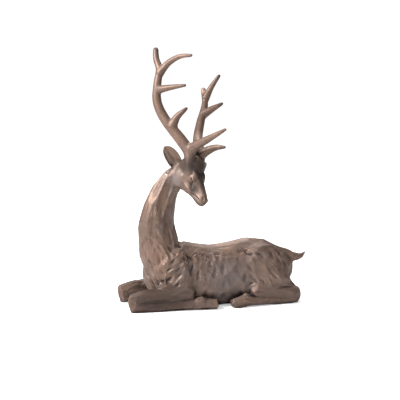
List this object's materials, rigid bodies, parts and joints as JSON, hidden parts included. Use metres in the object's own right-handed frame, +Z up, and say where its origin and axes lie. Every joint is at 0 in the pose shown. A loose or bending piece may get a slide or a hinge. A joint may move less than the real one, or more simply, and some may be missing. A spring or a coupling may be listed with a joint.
{
  "type": "lying stag figurine",
  "caption": "Cast resin figurine of a lying stag with carved-looking facets, antlers, folded legs and its head turned back over its flank.",
  "frame": {"origin": "middle of the figure's box, on the surface that it lies on", "axes": "+X from the chest towards the tail, -Y towards the flank that the head looks back over, +Z up"},
  "size_m": [0.2856, 0.1578, 0.3832],
  "materials": {
    "bronzed_resin": "cast resin with a semi-gloss bronze-brown patina, dark in the cuts and rubbed to pale copper on the high facets"
  },
  "bodies": {
    "root": {"deer": "bronzed_resin"}
  },
  "joints": []
}
